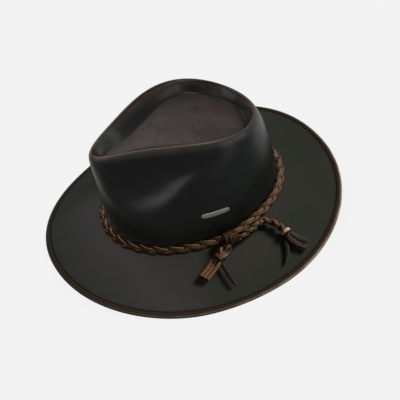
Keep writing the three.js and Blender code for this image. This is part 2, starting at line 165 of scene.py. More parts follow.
class HatSizes(bpy.types.PropertyGroup):
    stitch_inset: length("Stitch inset", "From the brim's edge to its row of stitches", 6.2)
    stitch_pitch: length("Stitch pitch", "From one stitch to the next", 3.8)
    stitch_length: length("Stitch length", "Length of one stitch on top of the leather", 2.3)
    thread_width: length("Thread width", "Width of the waxed thread", 1.5)
    groove_depth: length("Groove depth", "Depth of the groove that the stitches lie in", 0.35)
    groove_width: length("Groove width", "Width of that groove", 1.6)
    plait_pitch: length("Plait pitch", "Length in which a strand crosses the plait and returns", 54)
    strand_width: length("Strand width", "Width of a thong in the plaited band", 5.6)
    strand_thick: length("Strand thickness", "Thickness of a thong in the plaited band", 2.3)
    coil_thong: length("Coil thong", "Width of the thong that binds the knot", 2.1)
    bar_bevel: length("Bar bevel", "Bevel round the edge of the bar", 0.45)


class HatColours(bpy.types.PropertyGroup):
    crown: colour("Crown", "Oiled leather of the crown", 0.0062, 0.0085, 0.0068)
    crest: colour("Crest", "Worn leather on the crest", 0.084, 0.052, 0.034)
    recess: colour("Recess", "Leather on the floor of the recess", 0.096, 0.076, 0.065)
    brim: colour("Brim", "Oiled leather of the brim", 0.0225, 0.0258, 0.019)
    edge: colour("Edge", "Burnished leather along the brim's edge", 0.025, 0.0165, 0.0095)
    plait: colour("Plait", "Leather of the plaited thongs", 0.078, 0.044, 0.023)
    cut: colour("Cut edge", "Raw edge of a thong", 0.25, 0.16, 0.09)
    tan: colour("Tan thong", "Cut thongs at the end of the front tail", 0.158, 0.081, 0.046)
    spread: colour("Spread thong", "Cut thongs at the end of the back tail", 0.022, 0.0175, 0.013)
    dark: colour("Dark thong", "The thin thong that binds each tail", 0.013, 0.007, 0.0045)
    pewter: colour("Pewter", "Metal of the bar", 0.62, 0.65, 0.58)


def sizes():
    return bpy.context.scene.hat_sizes


def colours():
    return bpy.context.scene.hat_colours


# Helpers for objects

def deselect_all():
    bpy.ops.object.select_all(action="DESELECT")


def activate(piece):
    deselect_all()
    piece.select_set(True)
    bpy.context.view_layer.objects.active = piece


def apply_modifier(piece, name, kind, **settings):
    modifier = piece.modifiers.new(name, kind)
    for key, value in settings.items():
        setattr(modifier, key, value)
    activate(piece)
    bpy.ops.object.modifier_apply(modifier=modifier.name)


def smooth(piece, angle=math.radians(50)):
    activate(piece)
    bpy.ops.object.shade_smooth_by_angle(angle=angle)


def finished(piece, nodes, material):
    """Gives a piece its material and its body, and hides the CAD nodes that it stands for."""
    piece.data.materials.clear()
    piece.data.materials.append(material)
    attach(piece, "root")
    if nodes:
        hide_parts(*nodes)


def finish_thong(piece, nodes, material, strand=None):
    """Finishes a piece of a shared leather. strand, from 0 to 1, sets the tone of a single thong."""
    if strand is not None:
        set_attribute(piece, "strand", strand)
    smooth(piece)
    finished(piece, nodes, bpy.data.materials[material])


def new_piece(name, mesh):
    piece = bpy.data.objects.new(name, mesh)
    bpy.context.collection.objects.link(piece)
    return piece


def new_mesh(name, points, faces):
    mesh = bpy.data.meshes.new(name)
    mesh.from_pydata([tuple(point) for point in points], [], faces)
    mesh.update()
    return new_piece(name, mesh)


# A vertex with this many edges is a pole, whose fan of triangles isn't joined into quads
POLE_SPOKES = 16


def node_copy(node, name):
    """A copy of a CAD node's mesh, its loose triangles merged and joined into quads."""
    piece = new_piece(name, frame["nodes"][node].data.copy())
    activate(piece)
    bpy.ops.object.mode_set(mode="EDIT")
    bpy.ops.mesh.select_all(action="SELECT")
    bpy.ops.mesh.remove_doubles(threshold=0.01 * MM)
    bpy.ops.object.mode_set(mode="OBJECT")
    spokes = np.bincount([end for edge in piece.data.edges for end in edge.vertices])
    for face in piece.data.polygons:
        face.select = max(spokes[corner] for corner in face.vertices) < POLE_SPOKES
    bpy.ops.object.mode_set(mode="EDIT")
    bpy.ops.mesh.tris_convert_to_quads(
        face_threshold=math.pi, shape_threshold=math.pi, topology_influence=2
    )
    bpy.ops.object.mode_set(mode="OBJECT")
    return piece


def mesh_vectors(piece, name="co"):
    """The places of a mesh's vertices, or their normals."""
    vectors = np.empty(len(piece.data.vertices) * 3)
    piece.data.vertices.foreach_get(name, vectors)
    return vectors.reshape(-1, 3)


def set_points(piece, points):
    piece.data.vertices.foreach_set("co", np.asarray(points).ravel())
    piece.data.update()


def set_attribute(piece, name, values):
    """Marks the vertices with a value each, or all with the same value."""
    marks = piece.data.attributes.new(name, "FLOAT", "POINT")
    marks.data.foreach_set("value", np.full(len(piece.data.vertices), values, np.float32))


def smoothstep(low, high, value):
    share = np.clip((value - low) / (high - low), 0, 1)
    return share * share * (3 - 2 * share)


def polar(points):
    """The angle and the distance of each point about the origin's vertical."""
    return np.arctan2(points[:, 1], points[:, 0]), np.hypot(points[:, 0], points[:, 1])


def rim_reach(points, count=120):
    """How far out the outermost points lie, as a function of the angle round the origin."""
    turns, reach = polar(points)
    best = []
    for step in range(count):
        middle = -math.pi + math.tau * (step + 0.5) / count
        away = np.abs((turns - middle + math.pi) % math.tau - math.pi)
        near = np.flatnonzero(away < 1.5 * math.pi / count)
        best.append(near[np.argmax(reach[near])])
    best = sorted(set(best), key=lambda i: turns[i])
    return lambda asked: np.interp(asked, turns[best], reach[best], period=math.tau)


def outline(front, back, half, nose, hook, cheek, dent, count=180):
    """A closed outline of the crown, seen from above, in the frame."""
    turn = np.arange(count) * math.tau / count
    breadth = nose + (1 - nose) * (np.sin(turn / 2) ** 2) ** hook
    hollow = 1 + cheek * np.cos(turn) ** 2
    from_dent = (np.arccos(np.cos(turn)) - DENT_TURN) / DENT_SPREAD
    dent = dent * np.exp(-(from_dent ** 2)) * np.sign(np.sin(turn))
    x = half * np.sin(turn) * breadth * hollow - dent
    y = (back - front) / 2 - (back + front) / 2 * np.cos(turn)
    return np.column_stack([x, y]) * MM + [FOOT.x, FOOT.y]


def distance_outside(points, line):
    """How far outside a closed outline each point lies, seen from above, and less than 0 within it."""
    best = np.full(len(points), np.inf)
    inside = np.zeros(len(points), bool)
    x, y = points[:, 0], points[:, 1]
    for a, b in zip(line, np.roll(line, -1, axis=0)):
        step = b - a
        share = np.clip(((x - a[0]) * step[0] + (y - a[1]) * step[1]) / (step @ step), 0, 1)
        best = np.minimum(best, np.hypot(x - a[0] - share * step[0], y - a[1] - share * step[1]))
        crossed = (a[1] > y) != (b[1] > y)
        if crossed.any():
            at = a[0] + (y - a[1]) * step[0] / (step[1] if step[1] else 1e-12)
            inside ^= crossed & (x < at)
    return np.where(inside, -best, best)


# Helpers for swept thongs

def smooth_line(keys, spacing):
    """A centripetal spline through the keys, as points about the same distance apart."""
    keys = [np.array(key, float) for key in keys]
    keys = [2 * keys[0] - keys[1], *keys, 2 * keys[-1] - keys[-2]]
    line = []
    for i in range(1, len(keys) - 2):
        p = keys[i - 1:i + 3]
        t = [0.0]
        for j in range(3):
            t.append(t[-1] + math.sqrt(np.linalg.norm(p[j + 1] - p[j])))
        count = max(2, math.ceil(np.linalg.norm(p[2] - p[1]) / spacing))
        for step in range(count):
            at = t[1] + (t[2] - t[1]) * step / count
            a = [p[j] + (p[j + 1] - p[j]) * (at - t[j]) / (t[j + 1] - t[j]) for j in range(3)]
            b = [a[j] + (a[j + 1] - a[j]) * (at - t[j]) / (t[j + 2] - t[j]) for j in range(2)]
            line.append(b[0] + (b[1] - b[0]) * (at - t[1]) / (t[2] - t[1]))
    line.append(keys[-2])
    return np.array(line)


def unit(vectors):
    return vectors / np.linalg.norm(vectors, axis=-1, keepdims=True)


def square_to(ahead, vectors):
    """The vectors, turned square to a line's direction at each of its points."""
    return unit(vectors - ahead * np.sum(vectors * ahead, axis=1, keepdims=True))


def along_line(line, closed):
    """The direction of a line at each of its points."""
    if closed:
        return unit(np.roll(line, -1, axis=0) - np.roll(line, 1, axis=0))
    return unit(np.gradient(line, axis=0))


def distances(line):
    """The distance of each point from the line's start, along it."""
    steps = np.linalg.norm(np.diff(line, axis=0), axis=1)
    return np.concatenate([[0], np.cumsum(steps)])


def tube_faces(start, rings, sides, closed=False):
    """The faces of a tube through rings of vertices, the first of which is start, with capped ends."""
    faces = []
    for i in range(rings if closed else rings - 1):
        here, there = start + i * sides, start + (i + 1) % rings * sides
        for j in range(sides):
            k = (j + 1) % sides
            faces.append((here + j, here + k, there + k, there + j))
    if not closed:
        last = start + (rings - 1) * sides
        faces.append(tuple(range(start, start + sides))[::-1])
        faces.append(tuple(range(last, last + sides)))
    return faces


# A thong's profile, and what its ends are marked with across it, so that they look cut
PROFILE_SIDES = 14
CUT_SIDE = -0.85
UP = np.array([0, 0, 1.0])


def signed_power(value, power):
    return math.copysign(abs(value) ** power, value)


def swept(name, line, faces_out, width, thick, closed=False, squareness=0.55):
    """A thong swept along a line. faces_out says which way its broad face looks, by point or for all."""
    ahead = along_line(line, closed)
    out = square_to(ahead, faces_out)
    across = np.cross(ahead, out)
    width = np.broadcast_to(width, len(line))
    thick = np.broadcast_to(thick, len(line))
    points, sides = [], []
    for i, centre in enumerate(line):
        for j in range(PROFILE_SIDES):
            angle = math.tau * j / PROFILE_SIDES
            wide = signed_power(math.cos(angle), squareness) * width[i] / 2
            deep = signed_power(math.sin(angle), squareness) * thick[i] / 2
            points.append(centre + across[i] * wide + out[i] * deep)
            sides.append(math.cos(angle))
    if not closed:
        sides[:PROFILE_SIDES] = sides[-PROFILE_SIDES:] = [CUT_SIDE] * PROFILE_SIDES
    piece = new_mesh(name, points, tube_faces(0, len(line), PROFILE_SIDES, closed))
    set_attribute(piece, "across", sides)
    return piece


def joined(name, parts):
    """Several meshes made one piece, each part marked with its own share from 0 to 1."""
    for i, part in enumerate(parts):
        set_attribute(part, "strand", (i + 0.5) / len(parts))
    activate(parts[0])
    for part in parts:
        part.select_set(True)
    bpy.ops.object.join()
    parts[0].name = name
    parts[0].data.name = name
    return parts[0]


# A plait's thongs, and how far each rolls as it comes to the plait's upper or lower side
PLAIT_STRANDS = 3
PLAIT_ROLL = math.radians(28)


def plait(name, line, periods, spread, lift, width, thick, closed=False, start=0.0, upward=0.0):
    """Three flat thongs plaited along a line.

    The plait's broad face looks sideways, away from the hat, or up by the share in upward.
    """
    ahead = along_line(line, closed)
    side = unit(np.cross(ahead, UP))
    share = np.broadcast_to(upward, len(line))[:, None]
    face = square_to(ahead, side * (1 - share) + UP * share)
    up = np.cross(face, ahead)
    run = distances(line)
    whole = run[-1] + (np.linalg.norm(line[0] - line[-1]) if closed else 0)
    strands = []
    for strand in range(PLAIT_STRANDS):
        phase = math.tau * (periods * run / whole + strand / PLAIT_STRANDS + start)
        rise, stand = np.cos(phase)[:, None], np.sin(2 * phase)[:, None]
        centre = line + up * rise * spread + face * stand * lift
        roll = rise * PLAIT_ROLL
        faces_out = face * np.cos(roll) + up * np.sin(roll)
        piece = swept(f"{name}_{strand}", centre, faces_out, width, thick, closed)
        # where the strand dips under another, for painted shade
        set_attribute(piece, "under", np.repeat(np.clip(-stand[:, 0], 0, 1), PROFILE_SIDES))
        strands.append(piece)
    return joined(name, strands)


def foot_point(turn, out, up):
    """A point beside the crown's foot: out from its outline and over its plane."""
    width, long = FOOT_HALF_WIDTH, FOOT_HALF_LENGTH
    outward = Vector((long * math.sin(turn), -width * math.cos(turn), 0)).normalized()
    return FOOT + Vector((width * math.sin(turn), -long * math.cos(turn), up)) + outward * out


def band_point(turn, out=0.0, up=0.0):
    """A point by the band's middle line, which the knot lifts a little off the crown."""
    lift = KNOT_LIFT * math.exp(-(((turn - KNOT_TURN) / KNOT_SPREAD) ** 2))
    return foot_point(turn, GAP + BAND_THICK / 2 + lift + out, BAND_UP + up)


def route(points):
    """Points given in millimetres about the crown's foot, in metres in the frame."""
    return [FOOT + Vector(point) * MM for point in points]


# Helpers for materials. Each finds its node tree through a node or a socket that it is given.

def is_socket(value):
    return isinstance(value, bpy.types.NodeSocket)


def feed(node, values):
    """Links a node's inputs to the values that are sockets, and sets them to the others."""
    for key, value in values.items():
        if is_socket(value):
            node.id_data.links.new(value, node.inputs[key])
        else:
            node.inputs[key].default_value = value
    return node


def add_node(owner, kind, values=None, **settings):
    node = owner.id_data.nodes.new(f"ShaderNode{kind}")
    for key, value in settings.items():
        setattr(node, key, value)
    return feed(node, values or {})


def math_node(operation, first, second=0):
    owner = first if is_socket(first) else second
    return add_node(owner, "Math", {0: first, 1: second}, operation=operation).outputs[0]


def times(first, second):
    return math_node("MULTIPLY", first, second)


def plus(first, second):
    return math_node("ADD", first, second)


def minus(first, second):
    return math_node("SUBTRACT", first, second)


def apart(first, second):
    return math_node("ABSOLUTE", minus(first, second))


def vector_node(owner, operation, values, output="Vector"):
    return add_node(owner, "VectorMath", values, operation=operation).outputs[output]


def ramp(value, low, high, start=0, end=1):
    """value taken from low..high to start..end, smoothly and no further."""
    values = {"Value": value, "From Min": low, "From Max": high, "To Min": start, "To Max": end}
    return add_node(value, "MapRange", values, interpolation_type="SMOOTHSTEP").outputs["Result"]


def mixed(share, *tints):
    """The first of two colours, with the second laid over it by a share."""
    first, second = (tint if is_socket(tint) else (*tint, 1) for tint in tints)
    return add_node(share, "Mix", {0: share, 6: first, 7: second}, data_type="RGBA").outputs[2]


def layered(base, *layers):
    """A colour with others laid over it in turn, each given as its share and its colour."""
    for share, tint in layers:
        base = mixed(share, base, tint)
    return base


def noise(vector, scale, detail=3, roughness=0.5):
    values = {"Vector": vector, "Scale": scale, "Detail": detail, "Roughness": roughness}
    return add_node(vector, "TexNoise", values).outputs["Fac"]


def coordinates(owner, kind="Object"):
    return add_node(owner, "TexCoord").outputs[kind]


def attribute(owner, name):
    return add_node(owner, "Attribute", attribute_name=name).outputs["Fac"]


def start_group(name, inputs, outputs):
    """A node group: its inputs' defaults, with None for a vector, and the names of the values it makes."""
    tree = bpy.data.node_groups.new(name, "ShaderNodeTree")
    for label, default in inputs.items():
        kind = "NodeSocketVector" if default is None else "NodeSocketFloat"
        socket = tree.interface.new_socket(label, in_out="INPUT", socket_type=kind)
        if default is not None:
            socket.default_value = default
    for label in outputs:
        tree.interface.new_socket(label, in_out="OUTPUT", socket_type="NodeSocketFloat")
    return tree.nodes.new("NodeGroupInput").outputs, tree.nodes.new("NodeGroupOutput")


def hide_group():
    """Fine grain, pores and soft mottling of smooth oiled leather."""
    given, made = start_group(
        "Oiled hide", {"Vector": None, "Grain size": 900}, ["Mottle", "Polish", "Height"]
    )
    vector = given["Vector"]
    mottle = ramp(noise(vector, 14, 4, 0.6), 0.35, 0.68)
    middle = noise(vector, 55, 4, 0.6)
    cells = add_node(
        vector, "TexVoronoi", {"Vector": vector, "Scale": given["Grain size"]}, feature="F1"
    ).outputs["Distance"]
    grain = plus(times(cells, 0.6), times(noise(vector, 2400, 2), 0.4))
    height = plus(grain, times(middle, 1.2))
    feed(made, {"Mottle": mottle, "Polish": ramp(middle, 0.3, 0.7), "Height": height})


def wear_group():
    """A worn zone that fades with a distance, its border broken up by noise."""
    given, made = start_group(
        "Worn zone", {"Distance": 0, "Vector": None, "From": 0, "To": 0.01, "Break": 0.5}, ["Mask"]
    )
    flecks = minus(noise(given["Vector"], 70, 5, 0.65), 0.5)
    shift = times(times(flecks, given["Break"]), minus(given["To"], given["From"]))
    feed(made, {"Mask": ramp(plus(given["Distance"], shift), given["From"], given["To"], 1, 0)})


def scratch_group():
    """Sparse fine scratches: thin bands of a stretched noise."""
    given, made = start_group("Scratches", {"Vector": None, "Turn": 0.4}, ["Mask"])
    vector = given["Vector"]
    turned = add_node(
        vector, "VectorRotate", {"Vector": vector, "Angle": given["Turn"]}, rotation_type="Z_AXIS"
    ).outputs["Vector"]
    stretched = add_node(
        vector, "Mapping", {"Vector": turned, "Scale": (9, 420, 60)}
    ).outputs["Vector"]
    thin = ramp(apart(noise(stretched, 1, 1, 0.4), 0.5), 0, 0.012, 1, 0)
    feed(made, {"Mask": times(thin, ramp(noise(vector, 38, 2), 0.58, 0.66))})


def placed(group_name, coords, values=None):
    """The outputs of a node group placed in a material."""
    group = bpy.data.node_groups[group_name]
    return add_node(coords, "Group", {"Vector": coords, **(values or {})}, node_tree=group).outputs


def start_material(name, specular=0.5):
    material = bpy.data.materials.new(name)
    material.use_nodes = True
    shader = material.node_tree.nodes["Principled BSDF"]
    return material, feed(shader, {"Specular IOR Level": specular})


def add_bump(shader, height, strength, distance):
    bump = add_node(shader, "Bump", {"Height": height, "Strength": strength, "Distance": distance})
    feed(shader, {"Normal": bump.outputs["Normal"]})


# The ridge along the crest, worn paler and painted with a highlight, and a line of painted shade just
# inside it, as distances beyond the crest
RIDGE_WEAR_AND_HIGHLIGHT_AT, RIDGE_WEAR_AND_HIGHLIGHT_WIDTH = 0.4 * MM, 1.5 * MM
SHADE_LINE_AT, SHADE_LINE_WIDTH = -2.3 * MM, 1.1 * MM
# Marks on the recess floor and its walls, seen from above, stains and scratches and also painted highlights
# and
# painted shade: their two ends and how far they fade to each side, in millimetres, their strength and their
# colour
RECESS_MARKS_AND_PAINTED_LIGHT = [
    ((0.7, 36.1), (1.7, 36.1), 9, 0.6, (0.14, 0.08, 0.045)),
    ((33.7, 6.2), (35.7, 6.2), 2, 0.8, (0.16, 0.12, 0.09)),
    ((-20.5, -11.5), (-12.9, 4.3), 1.3, 0.8, (0.2, 0.17, 0.14)),
    ((-18.5, -26), (-17.3, -24.4), 1.6, 0.8, (0.2, 0.17, 0.14)),
    # an olive worn patch in the trough at the nose, lightened further as a painted highlight
    ((-17, -60), (-9, -80), 12, 0.85, (0.105, 0.11, 0.086)),
    # painted highlight: a glint on the far wall
    ((-30, 81), (-14, 86.5), 3.5, 0.85, (0.095, 0.099, 0.095)),
    # painted shade: a darker patch on the far wall
    ((-47, 72), (-37, 78), 7, 0.6, (0.02, 0.017, 0.015)),
]


def from_segment(coords, start, end):
    """The distance from a segment, seen from above."""
    flat = vector_node(coords, "MULTIPLY", {0: coords, 1: (1, 1, 0)})
    ahead = (end - start).normalized()
    offset = vector_node(coords, "SUBTRACT", {0: flat, 1: start})
    far = vector_node(coords, "DOT_PRODUCT", {0: offset, 1: ahead}, "Value")
    held = math_node("MAXIMUM", math_node("MINIMUM", far, (end - start).length), 0)
    step = vector_node(coords, "SCALE", {0: ahead, "Scale": held})
    nearest = vector_node(coords, "ADD", {0: step, 1: start})
    return vector_node(coords, "DISTANCE", {0: flat, 1: nearest}, "Value")


def crown_material():
    """Near-black oiled leather, worn brown on the crest and along the lip, purple-brown in the recess, with
    painted highlights below the rim, on the crest's ridge and on the recess walls, and painted shade inside
    the crest, in the crease round the floor and on the far wall.
    """
    material, shader = start_material("Crown leather", 0.62)
    paint = colours()
    coords = coordinates(shader)
    hide = placed("Oiled hide", coords)
    split = add_node(coords, "SeparateXYZ", {0: coords}).outputs
    floor = attribute(shader, "recess")
    beyond = attribute(shader, "beyond_crest")
    crest, rubbed = attribute(shader, "crest"), attribute(shader, "rubbed")
    worn = placed("Worn zone", coords, {"Distance": crest, "From": 0.002, "To": 0.011, "Break": 1.6})
    base = layered(
        mixed(times(hide["Mottle"], 0.35), paint.crown, (0.014, 0.0125, 0.011)),
        (ramp(split["Y"], -0.02, 0.06, 0, 0.8), (0.0125, 0.0175, 0.0138)),
        # painted highlight: a lighter band just below the rim on the outside, brighter where the hide is
        # more polished
        (times(rubbed, ramp(hide["Polish"], 0, 1, 0.55, 0.85)), (0.072, 0.066, 0.055)),
        (times(worn["Mask"], 0.8), paint.crest),
        # the worn ridge along the crest, lighter as wear and as a painted highlight
        (ramp(apart(beyond, RIDGE_WEAR_AND_HIGHLIGHT_AT), 0, RIDGE_WEAR_AND_HIGHLIGHT_WIDTH, 0.75, 0), (0.18, 0.14, 0.11)),
        # painted shade: a thin dark line just inside the crest
        (ramp(apart(beyond, SHADE_LINE_AT), 0.0002, SHADE_LINE_WIDTH, 0.85, 0), (0.004, 0.003, 0.003)),
    )
    ground = layered(
        mixed(hide["Mottle"], paint.recess, (0.03, 0.024, 0.022)),
        (ramp(split["Y"], 0.03, -0.03, 0, 0.8), (0.12, 0.095, 0.083)),
        (ramp(noise(coords, 24, 4, 0.6), 0.48, 0.62, 0, 0.55), (0.07, 0.036, 0.03)),
        (ramp(noise(coords, 41, 4, 0.65), 0.5, 0.64, 0, 0.45), (0.026, 0.021, 0.02)),
    )
    base = mixed(floor, base, ground)
    # Stains and scratches, and painted highlights and painted shade, in the recess
    for start, end, fade, strength, tint in RECESS_MARKS_AND_PAINTED_LIGHT:
        away = from_segment(coords, Vector((*start, 0)) * MM, Vector((*end, 0)) * MM)
        mark = times(ramp(away, fade * MM, 0, 0, strength), ramp(hide["Polish"], 0, 0.6, 0.6, 1))
        base = mixed(mark, base, tint)
    scratches = placed("Scratches", coords, {"Turn": 1.25})["Mask"]
    base = layered(
        base,
        # painted shade darkens the crease round the recess floor
        (times(attribute(shader, "crease"), 0.7), (0.012, 0.01, 0.009)),
        (times(scratches, times(floor, 0.4)), (0.14, 0.1, 0.08)),
    )
    rough = plus(plus(times(hide["Polish"], 0.08), 0.27), times(floor, 0.09))
    wall = times(ramp(beyond, 0.003, -0.001), ramp(split["Y"], 0.03, 0.07))
    shine = ramp(times(wall, minus(1, floor)), 0, 1, 0.62, 0.25)
    feed(shader, {"Base Color": base, "Roughness": rough, "Specular IOR Level": shine})
    add_bump(shader, hide["Height"], 0.1, 0.0004)
    return material


def brim_material():
    """Greenish black oiled leather, paler and greyer in front, burnished brown along the stitched edge, its
    outermost rim scuffed paler and painted with a highlight.
    """
    material, shader = start_material("Brim leather", 0.13)
    paint = colours()
    coords = coordinates(shader)
    hide = placed("Oiled hide", coords)
    split = add_node(coords, "SeparateXYZ", {0: coords}).outputs
    inside = attribute(shader, "inside_edge")
    burnish = placed("Worn zone", coords, {"Distance": inside, "From": 0.005, "To": 0.01, "Break": 0.5})
    # paler and greyer towards the front
    paler_front = plus(split["Y"], times(hide["Polish"], 0.015))
    paler_front = times(ramp(paler_front, -0.02, -0.1), ramp(paler_front, -0.18, -0.1))
    far_front = times(ramp(split["X"], -0.06, -0.1), ramp(split["Y"], 0, -0.05))
    # the outermost rim, scuffed paler and lightened further as a painted highlight, most towards the back
    chafed_and_highlit = times(ramp(inside, 0.0026, 0.0006), ramp(hide["Polish"], 0, 1, 0.45, 0.95))
    base = layered(
        mixed(times(hide["Mottle"], 0.75), paint.brim, (0.035, 0.03, 0.025)),
        (times(paler_front, 0.6), (0.05, 0.047, 0.047)),
        (ramp(split["Y"], -0.09, -0.14, 0, 0.1), (0.007, 0.008, 0.007)),
        (times(far_front, 0.5), (0.009, 0.01, 0.008)),
        (times(burnish["Mask"], 0.85), paint.edge),
        (chafed_and_highlit, mixed(ramp(split["Y"], -0.04, 0.06), (0.15, 0.108, 0.086), (0.215, 0.16, 0.13))),
        (times(attribute(shader, "groove"), 0.25), (0.008, 0.006, 0.005)),
    )
    feed(shader, {"Base Color": base, "Roughness": plus(times(hide["Polish"], 0.08), 0.42)})
    add_bump(shader, hide["Height"], 0.14, 0.0004)
    return material


def thread_material():
    material, shader = start_material("Waxed thread", 0.1)
    base = mixed(noise(coordinates(shader), 300), (0.0015, 0.001, 0.001), (0.005, 0.003, 0.002))
    feed(shader, {"Base Color": base, "Roughness": 0.5})
    return material


def thong_material(name, face, cut, specular=0.07, side=0.35):
    """Thong leather with patches of tone, painted shade where a strand dips under another and along its
    lower edge, and a paler upper edge that is its raw cut edge and a painted highlight.

    side says how far across a thong its shaded lower edge begins, from 0 in its middle to 1.
    """
    shader = start_material(name, specular)[1]
    coords = coordinates(shader)
    hide = placed("Oiled hide", coords, {"Grain size": 1500})
    across = attribute(shader, "across")
    # painted highlight: the upper edge, which also has the raw cut edge's colour, as do a thong's cut ends
    edge = times(ramp(across, -0.5, -0.8), ramp(across, -0.98, -0.9))
    patches = add_node(
        coords, "TexNoise",
        {"Vector": coords, "W": times(attribute(shader, "strand"), 9), "Scale": 55, "Detail": 1},
        noise_dimensions="4D"
    ).outputs["Fac"]
    # painted shade: the lower edge, and the thin side at the very top
    lower = math_node("MAXIMUM", ramp(across, side, 0.98), ramp(across, -0.93, -1))
    # painted shade where a strand dips under another
    under = math_node("MAXIMUM", ramp(attribute(shader, "under"), 0, 0.7), lower)
    base = layered(
        mixed(times(ramp(patches, 0.38, 0.62), 0.8), face * (1.2, 0.84, 0.66), face * (1.1, 1.1, 1.04)),
        (times(hide["Mottle"], 0.5), face * 0.55),
        (times(edge, 0.42), cut),
        (times(under, 0.88), face * 0.15),
    )
    feed(shader, {"Base Color": base, "Roughness": plus(times(hide["Polish"], 0.15), 0.46)})
    add_bump(shader, plus(hide["Height"], noise(coords, 700)), 0.3, 0.0004)


def pewter_material():
    material, shader = start_material("Pewter")
    coords = coordinates(shader)
    tarnish = ramp(noise(coords, 260, 4, 0.6), 0.35, 0.7)
    base = mixed(times(tarnish, 0.4), colours().pewter, (0.36, 0.39, 0.35))
    feed(shader, {"Base Color": base, "Metallic": 0.7, "Roughness": ramp(tarnish, 0, 1, 0.34, 0.5)})
    add_bump(shader, noise(coords, 900), 0.25, 0.0003)
    return material


class HAT_OT_stage(bpy.types.Operator):
    """Sets the camera, the floor and the studio light"""

    bl_idname = "hat.stage"
    bl_label = "Stage"

    def execute(self, context):
        make_camera(context)
        make_floor()
        make_lights(context)
        return {"FINISHED"}


def heading(turn, height):
    """The direction at a turn from the wearer's left towards the back, and at a height."""
    return Vector((math.cos(turn) * math.cos(height), math.sin(turn) * math.cos(height), math.sin(height)))


def make_camera(context):
    back = heading(CAMERA_AZIMUTH - math.pi / 2, CAMERA_ELEVATION)
    level = heading(CAMERA_AZIMUTH, 0)
    right = level * math.cos(CAMERA_ROLL) + back.cross(level) * math.sin(CAMERA_ROLL)
    bpy.ops.object.camera_add()
    camera = context.object
    camera.name = "photo_camera"
    camera.location = FOOT + CAMERA_AIM + back * CAMERA_DISTANCE
    camera.rotation_euler = Matrix((right, back.cross(right), back)).transposed().to_euler()
    camera.data.lens = CAMERA_LENS
    camera.data.sensor_width = 36
    camera.data.clip_start = 0.05
    camera.data.clip_end = 40
    context.scene.camera = camera


FLOOR_SIZE = 12
FLOOR_GREY = 0.07
FLOOR_GLOW = 0.858


def make_floor():
    """A pale floor, which the hat neither mirrors nor is lit by."""
    deselect_all()
    bpy.ops.mesh.primitive_plane_add(size=FLOOR_SIZE, location=(0, 0, 0))
    floor = bpy.context.object
    floor.name = "floor"
    material, shader = start_material("Pale floor", 0)
    feed(shader, {
        "Base Color": (FLOOR_GREY, FLOOR_GREY, FLOOR_GREY, 1), "Roughness": 1.0,
        "Emission Color": (1, 1, 1, 1), "Emission Strength": FLOOR_GLOW,
    })
    floor.data.materials.append(material)
    floor.visible_glossy = False
    floor.visible_diffuse = False


# How bright the world is as light and as the camera sees it
WORLD_STRENGTH = 0.14
BACKDROP_STRENGTH = 0.896
# The pale ground beyond the hat, which shows in the leather only at its far edges: the directions that
# it glows from, and its strengths
FAR_GROUND = [((-0.75, -0.35, -0.55), 0.40), ((-0.42, 0.74, -0.52), 0.40)]
# The lamps, all far off and wide: the direction that each shines from, as its turn from the wearer's left
# towards the back and its height, its strength, its width, all angles in degrees, and the start of the
# names of the pieces that it lights, or nothing where it lights them all
CROWN_PIECES = ("crown", "pewter", "floor")
LAMPS = {
    "top_back": (35, 63, 0.48, 28, CROWN_PIECES),
    "top_right": (-150, 63, 0.34, 28, CROWN_PIECES),
    "far_back": (150, 63, 0.18, 28, CROWN_PIECES),
    "front": (-80, 40, 0.24, 40, (*CROWN_PIECES, "plaited")),
    "rim_right": (-165, 21, 0.14, 28, CROWN_PIECES),
    "rim_front": (-80, 21, 0.15, 40, CROWN_PIECES),
    "low_side": (30, 6, 0.16, 28, ()),
    "low_back": (60, 6, 0.16, 28, ()),
    "key": (88, 32, 5.6, 17, ("brim",)),
    "thong_key": (88, 32, 5.3, 17, ("plaited", "knot", "front", "back")),
}
# Both keys cast the shadows of these pieces only, so that the brim is lit all round the crown. The brim's
# key makes no highlight there, which the crown would mirror.
KEY_BLOCKERS = ("knot", "front", "back")


def make_lights(context):
    context.scene.view_settings.view_transform = "Standard"
    world = bpy.data.worlds.new("studio")
    world.use_nodes = True
    background = world.node_tree.nodes["Background"]
    around = WORLD_STRENGTH
    for ground, glow in FAR_GROUND:
        towards = vector_node(
            background, "DOT_PRODUCT", {0: coordinates(background, "Generated"), 1: ground}, "Value"
        )
        around = plus(ramp(towards, 0.72, 0.97, 0.0, glow), around)
    seen = times(add_node(background, "LightPath").outputs["Is Camera Ray"], BACKDROP_STRENGTH)
    feed(background, {"Color": (1, 1, 1, 1), "Strength": math_node("MAXIMUM", seen, around)})
    context.scene.world = world
    shadows = gathered("key_shadows", KEY_BLOCKERS)
    for name, (turn, height, strength, width, lit) in LAMPS.items():
        towards = heading(math.radians(turn), math.radians(height))
        deselect_all()
        bpy.ops.object.light_add(type="SUN", location=towards * 2)
        lamp = context.object
        lamp.name = name
        lamp.data.energy = strength
        lamp.data.angle = math.radians(width)
        lamp.rotation_euler = towards.to_track_quat("Z", "Y").to_euler()
        if lit:
            lamp.light_linking.receiver_collection = gathered(f"{name}_lights", lit)
        if name.endswith("key"):
            lamp.light_linking.blocker_collection = shadows
        lamp.visible_glossy = name != "key"


def gathered(name, starts):
    """A collection of the pieces whose names have one of these starts."""
    collection = bpy.data.collections.new(name)
    for piece in bpy.data.objects:
        if piece.name.startswith(starts) and piece.name not in frame["nodes"]:
            collection.objects.link(piece)
    return collection


